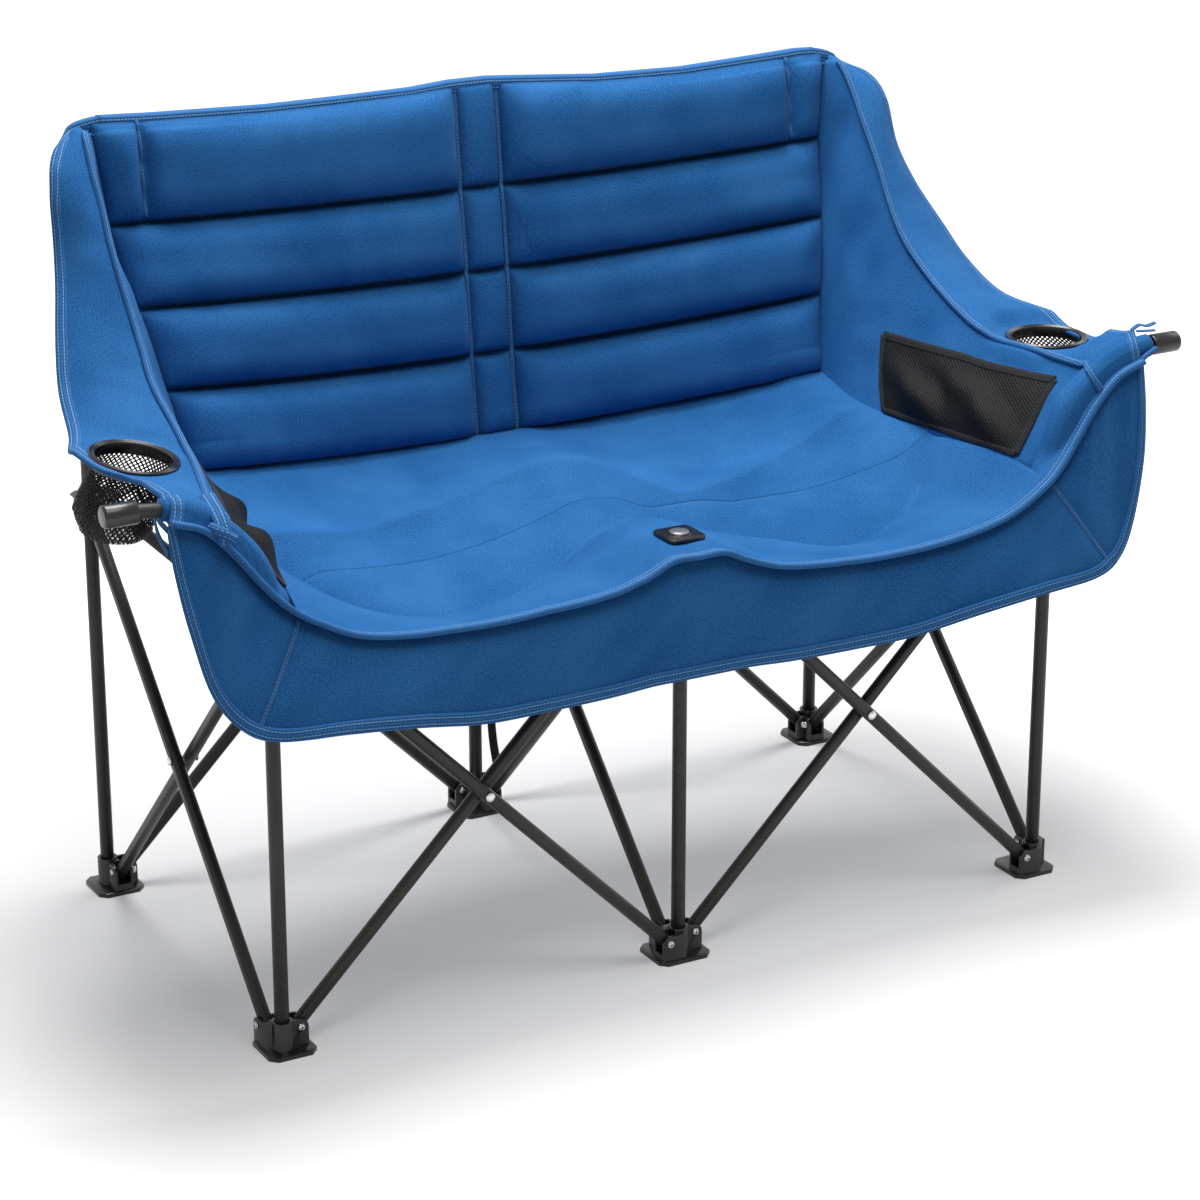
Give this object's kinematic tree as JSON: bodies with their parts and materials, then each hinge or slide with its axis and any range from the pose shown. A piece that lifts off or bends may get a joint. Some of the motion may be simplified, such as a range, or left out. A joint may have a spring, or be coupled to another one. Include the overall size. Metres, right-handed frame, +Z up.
{
  "type": "folding camping loveseat",
  "caption": "Folding camping loveseat: fabric seat, quilted back and padded arm bands with cup holders, hung on a collapsible frame of crossed steel tubes.",
  "frame": {"origin": "on the floor, in the middle of the chair's outline seen from above", "axes": "+Z up, +X to the chair's left as a sitter sees it, +Y to the back, the sitter faces -Y"},
  "size_m": [1.412, 0.6256, 0.96],
  "materials": {
    "tube": "satin",
    "moulded": "glossy",
    "rivet": "satin",
    "switch": "glossy",
    "cloth": "woven",
    "mesh": "open mesh"
  },
  "bodies": {
    "leg_front_centre": {"foot_front_centre": "moulded", "lower_post_front_centre": "tube"},
    "leg_front_left": {"foot_front_left": "moulded", "lower_post_front_left": "tube"},
    "leg_front_right": {"foot_front_right": "moulded", "lower_post_front_right": "tube"},
    "leg_rear_left": {"foot_rear_left": "moulded", "lower_post_rear_left": "tube"},
    "leg_rear_centre": {"foot_rear_centre": "moulded", "lower_post_rear_centre": "tube"},
    "leg_rear_right": {"foot_rear_right": "moulded", "lower_post_rear_right": "tube"},
    "upper_front_centre": {"hub_front_centre": "moulded", "front_skirt": "cloth"},
    "upper_front_left": {"hub_front_left": "moulded", "arm_bar_left": "tube", "arm_cap_left": "moulded", "side_wing_left": "cloth", "mesh_pocket_left": "mesh"},
    "upper_front_right": {"hub_front_right": "moulded", "arm_bar_right": "tube", "arm_cap_right": "moulded", "side_wing_right": "cloth", "mesh_pocket_right": "mesh"},
    "upper_rear_left": {"hub_rear_left": "moulded", "back_pole_rear_left": "tube"},
    "upper_rear_centre": {"hub_rear_centre": "moulded", "back_pole_rear_centre": "tube", "back_panel": "cloth"},
    "upper_rear_right": {"hub_rear_right": "moulded", "back_pole_rear_right": "tube"},
    "tube_front_centre_to_front_left": {"cross_tube_front_centre_to_front_left": "tube", "rivet_front_left": "rivet"},
    "tube_front_left_to_front_centre": {"cross_tube_front_left_to_front_centre": "tube"},
    "tube_front_right_to_front_centre": {"cross_tube_front_right_to_front_centre": "tube"},
    "tube_front_centre_to_front_right": {"cross_tube_front_centre_to_front_right": "tube", "rivet_front_right": "rivet"},
    "tube_rear_left_to_rear_centre": {"cross_tube_rear_left_to_rear_centre": "tube"},
    "tube_rear_centre_to_rear_left": {"cross_tube_rear_centre_to_rear_left": "tube", "rivet_rear_left": "rivet"},
    "tube_rear_right_to_rear_centre": {"cross_tube_rear_right_to_rear_centre": "tube"},
    "tube_rear_centre_to_rear_right": {"cross_tube_rear_centre_to_rear_right": "tube", "rivet_rear_right": "rivet"},
    "tube_front_left_to_rear_left": {"cross_tube_front_left_to_rear_left": "tube", "rivet_left_side": "rivet"},
    "tube_rear_left_to_front_left": {"cross_tube_rear_left_to_front_left": "tube"},
    "tube_front_centre_to_rear_centre": {"cross_tube_front_centre_to_rear_centre": "tube", "rivet_centre": "rivet"},
    "tube_rear_centre_to_front_centre": {"cross_tube_rear_centre_to_front_centre": "tube"},
    "tube_front_right_to_rear_right": {"cross_tube_front_right_to_rear_right": "tube", "rivet_right_side": "rivet"},
    "tube_rear_right_to_front_right": {"cross_tube_rear_right_to_front_right": "tube"},
    "seat_front": {"seat_front_half": "cloth", "switch_plate": "switch"},
    "seat_rear": {"seat_rear_half": "cloth"},
    "switch_button": {"switch_button": "switch"},
    "cup_holder_left": {"cup_ring_left": "moulded", "cup_bag_left": "mesh"},
    "cup_holder_right": {"cup_ring_right": "moulded", "cup_bag_right": "mesh"}
  },
  "joints": [
    {"name": "fold", "type": "hinge", "parent": "leg_front_centre", "child": "tube_front_centre_to_front_left", "pos_m": [-0.022, -0.24593, 0.027], "axis": [0, 1, 0], "range_deg": [0, 40], "deforming": ["back_panel", "front_skirt", "seat_front_half", "seat_rear_half", "side_wing_left", "side_wing_right", "mesh_pocket_left", "mesh_pocket_right"]},
    {"name": "cross_front_left", "type": "hinge", "parent": "tube_front_centre_to_front_left", "child": "tube_front_left_to_front_centre", "pos_m": [-0.26, -0.23753, 0.265], "axis": [0, -1, 0], "range_deg": [0, 80]},
    {"name": "foot_pivot_front_left", "type": "hinge", "parent": "tube_front_left_to_front_centre", "child": "leg_front_left", "pos_m": [-0.498, -0.22913, 0.027], "axis": [0, 1, 0], "range_deg": [0, 40]},
    {"name": "hub_pivot_front_left", "type": "hinge", "parent": "tube_front_centre_to_front_left", "child": "upper_front_left", "pos_m": [-0.498, -0.24593, 0.503], "axis": [0, -1, 0], "range_deg": [0, 40]},
    {"name": "hub_pivot_front_centre", "type": "hinge", "parent": "tube_front_left_to_front_centre", "child": "upper_front_centre", "pos_m": [-0.022, -0.22913, 0.503], "axis": [0, 1, 0], "range_deg": [0, 40]},
    {"name": "foot_pivot_front_right_bay", "type": "hinge", "parent": "leg_front_centre", "child": "tube_front_centre_to_front_right", "pos_m": [0.022, -0.22913, 0.027], "axis": [0, -1, 0], "range_deg": [0, 40]},
    {"name": "cross_front_right", "type": "hinge", "parent": "tube_front_centre_to_front_right", "child": "tube_front_right_to_front_centre", "pos_m": [0.26, -0.23753, 0.265], "axis": [0, 1, 0], "range_deg": [0, 80]},
    {"name": "foot_pivot_front_right", "type": "hinge", "parent": "tube_front_right_to_front_centre", "child": "leg_front_right", "pos_m": [0.498, -0.24593, 0.027], "axis": [0, -1, 0], "range_deg": [0, 40]},
    {"name": "hub_pivot_front_right", "type": "hinge", "parent": "tube_front_centre_to_front_right", "child": "upper_front_right", "pos_m": [0.498, -0.22913, 0.503], "axis": [0, 1, 0], "range_deg": [0, 40]},
    {"name": "foot_pivot_centre_pair", "type": "hinge", "parent": "leg_front_centre", "child": "tube_front_centre_to_rear_centre", "pos_m": [-0.0084, -0.21253, 0.027], "axis": [1, 0, 0], "range_deg": [0, 40]},
    {"name": "cross_centre", "type": "hinge", "parent": "tube_front_centre_to_rear_centre", "child": "tube_rear_centre_to_front_centre", "pos_m": [0, 0.02547, 0.265], "axis": [-1, 0, 0], "range_deg": [0, 80]},
    {"name": "foot_pivot_rear_centre", "type": "hinge", "parent": "tube_rear_centre_to_front_centre", "child": "leg_rear_centre", "pos_m": [0.0084, 0.26347, 0.027], "axis": [1, 0, 0], "range_deg": [0, 40]},
    {"name": "hub_pivot_rear_centre", "type": "hinge", "parent": "tube_front_centre_to_rear_centre", "child": "upper_rear_centre", "pos_m": [-0.0084, 0.26347, 0.503], "axis": [-1, 0, 0], "range_deg": [0, 40]},
    {"name": "foot_pivot_left_side", "type": "hinge", "parent": "leg_front_left", "child": "tube_front_left_to_rear_left", "pos_m": [-0.5284, -0.21253, 0.027], "axis": [1, 0, 0], "range_deg": [0, 40]},
    {"name": "cross_left_side", "type": "hinge", "parent": "tube_front_left_to_rear_left", "child": "tube_rear_left_to_front_left", "pos_m": [-0.52, 0.02547, 0.265], "axis": [-1, 0, 0], "range_deg": [0, 80]},
    {"name": "foot_pivot_rear_left", "type": "hinge", "parent": "tube_rear_left_to_front_left", "child": "leg_rear_left", "pos_m": [-0.5116, 0.26347, 0.027], "axis": [1, 0, 0], "range_deg": [0, 40]},
    {"name": "hub_pivot_rear_left", "type": "hinge", "parent": "tube_front_left_to_rear_left", "child": "upper_rear_left", "pos_m": [-0.5284, 0.26347, 0.503], "axis": [-1, 0, 0], "range_deg": [0, 40]},
    {"name": "foot_pivot_rear_left_bay", "type": "hinge", "parent": "leg_rear_centre", "child": "tube_rear_centre_to_rear_left", "pos_m": [-0.022, 0.29687, 0.027], "axis": [0, 1, 0], "range_deg": [0, 40]},
    {"name": "cross_rear_left", "type": "hinge", "parent": "tube_rear_centre_to_rear_left", "child": "tube_rear_left_to_rear_centre", "pos_m": [-0.26, 0.28847, 0.265], "axis": [0, -1, 0], "range_deg": [0, 80]},
    {"name": "foot_pivot_right_side", "type": "hinge", "parent": "leg_front_right", "child": "tube_front_right_to_rear_right", "pos_m": [0.5284, -0.21253, 0.027], "axis": [1, 0, 0], "range_deg": [0, 40]},
    {"name": "cross_right_side", "type": "hinge", "parent": "tube_front_right_to_rear_right", "child": "tube_rear_right_to_front_right", "pos_m": [0.52, 0.02547, 0.265], "axis": [-1, 0, 0], "range_deg": [0, 80]},
    {"name": "foot_pivot_rear_right", "type": "hinge", "parent": "tube_rear_right_to_front_right", "child": "leg_rear_right", "pos_m": [0.5116, 0.26347, 0.027], "axis": [1, 0, 0], "range_deg": [0, 40]},
    {"name": "hub_pivot_rear_right", "type": "hinge", "parent": "tube_front_right_to_rear_right", "child": "upper_rear_right", "pos_m": [0.5284, 0.26347, 0.503], "axis": [-1, 0, 0], "range_deg": [0, 40]},
    {"name": "foot_pivot_rear_right_bay", "type": "hinge", "parent": "leg_rear_centre", "child": "tube_rear_centre_to_rear_right", "pos_m": [0.022, 0.29687, 0.027], "axis": [0, -1, 0], "range_deg": [0, 40]},
    {"name": "cross_rear_right", "type": "hinge", "parent": "tube_rear_centre_to_rear_right", "child": "tube_rear_right_to_rear_centre", "pos_m": [0.26, 0.28847, 0.265], "axis": [0, 1, 0], "range_deg": [0, 80]},
    {"name": "seat_front_fold", "type": "hinge", "parent": "upper_front_centre", "child": "seat_front", "pos_m": [0, -0.26733, 0.51703], "axis": [1, 0, 0], "range_deg": [0, 82.45]},
    {"name": "seat_rear_fold", "type": "hinge", "parent": "upper_rear_centre", "child": "seat_rear", "pos_m": [0, 0.21307, 0.533], "axis": [-1, 0, 0], "range_deg": [0, 82.45]},
    {"name": "cup_holder_shift_left", "type": "slide", "parent": "upper_front_left", "child": "cup_holder_left", "axis": [0, -1, 0], "range_m": [0, 0.078]},
    {"name": "cup_holder_shift_right", "type": "slide", "parent": "upper_front_right", "child": "cup_holder_right", "axis": [0, -1, 0], "range_m": [0, 0.078]},
    {"name": "switch_press", "type": "slide", "parent": "seat_front", "child": "switch_button", "axis": [0, 0, -1], "range_m": [0, 0.002], "stiffness_N_per_m": 600}
  ],
  "couplings": [
    {"joint": "cross_front_left", "follows": "fold", "ratio": 2},
    {"joint": "foot_pivot_front_left", "follows": "fold", "ratio": 1},
    {"joint": "hub_pivot_front_left", "follows": "fold", "ratio": 1},
    {"joint": "hub_pivot_front_centre", "follows": "fold", "ratio": 1},
    {"joint": "foot_pivot_front_right_bay", "follows": "fold", "ratio": 1},
    {"joint": "cross_front_right", "follows": "fold", "ratio": 2},
    {"joint": "foot_pivot_front_right", "follows": "fold", "ratio": 1},
    {"joint": "hub_pivot_front_right", "follows": "fold", "ratio": 1},
    {"joint": "foot_pivot_centre_pair", "follows": "fold", "ratio": 1},
    {"joint": "cross_centre", "follows": "fold", "ratio": 2},
    {"joint": "foot_pivot_rear_centre", "follows": "fold", "ratio": 1},
    {"joint": "hub_pivot_rear_centre", "follows": "fold", "ratio": 1},
    {"joint": "foot_pivot_left_side", "follows": "fold", "ratio": 1},
    {"joint": "cross_left_side", "follows": "fold", "ratio": 2},
    {"joint": "foot_pivot_rear_left", "follows": "fold", "ratio": 1},
    {"joint": "hub_pivot_rear_left", "follows": "fold", "ratio": 1},
    {"joint": "foot_pivot_rear_left_bay", "follows": "fold", "ratio": 1},
    {"joint": "cross_rear_left", "follows": "fold", "ratio": 2},
    {"joint": "foot_pivot_right_side", "follows": "fold", "ratio": 1},
    {"joint": "cross_right_side", "follows": "fold", "ratio": 2},
    {"joint": "foot_pivot_rear_right", "follows": "fold", "ratio": 1},
    {"joint": "hub_pivot_rear_right", "follows": "fold", "ratio": 1},
    {"joint": "foot_pivot_rear_right_bay", "follows": "fold", "ratio": 1},
    {"joint": "cross_rear_right", "follows": "fold", "ratio": 2},
    {"joint": "seat_front_fold", "follows": "fold", "ratio": 2.0613},
    {"joint": "seat_rear_fold", "follows": "fold", "ratio": 2.0613},
    {"joint": "cup_holder_shift_left", "follows": "fold", "m_per_rad": 0.11173},
    {"joint": "cup_holder_shift_right", "follows": "fold", "m_per_rad": 0.11173}
  ]
}
